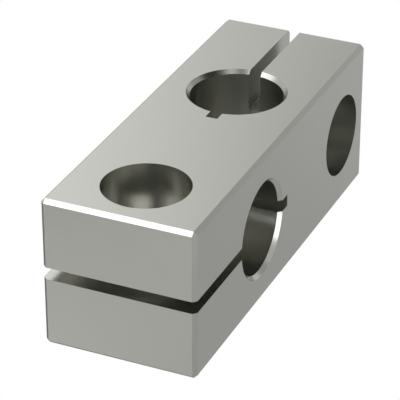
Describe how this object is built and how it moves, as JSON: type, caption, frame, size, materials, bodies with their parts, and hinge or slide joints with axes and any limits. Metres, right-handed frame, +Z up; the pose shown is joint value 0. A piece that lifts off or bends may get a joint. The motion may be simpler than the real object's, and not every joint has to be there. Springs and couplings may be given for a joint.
{
  "type": "rod clamp mounting bracket",
  "caption": "Square-section steel clamping block for crossed round rods: a slit rod bore across its front, another up through its back, and a counterbored screw hole across each slit.",
  "frame": {"origin": "middle of the underside", "axes": "+Y along the block from its front end, which holds the rod across it, to its back end, which holds the upright rod; +Z up, out of the front screw seat; +X to the right, out of the back screw seat"},
  "size_m": [0.02, 0.055, 0.02],
  "materials": {
    "steel": "fine ground stainless steel, satin"
  },
  "bodies": {
    "root": {"clamp_block": "steel"}
  },
  "joints": []
}
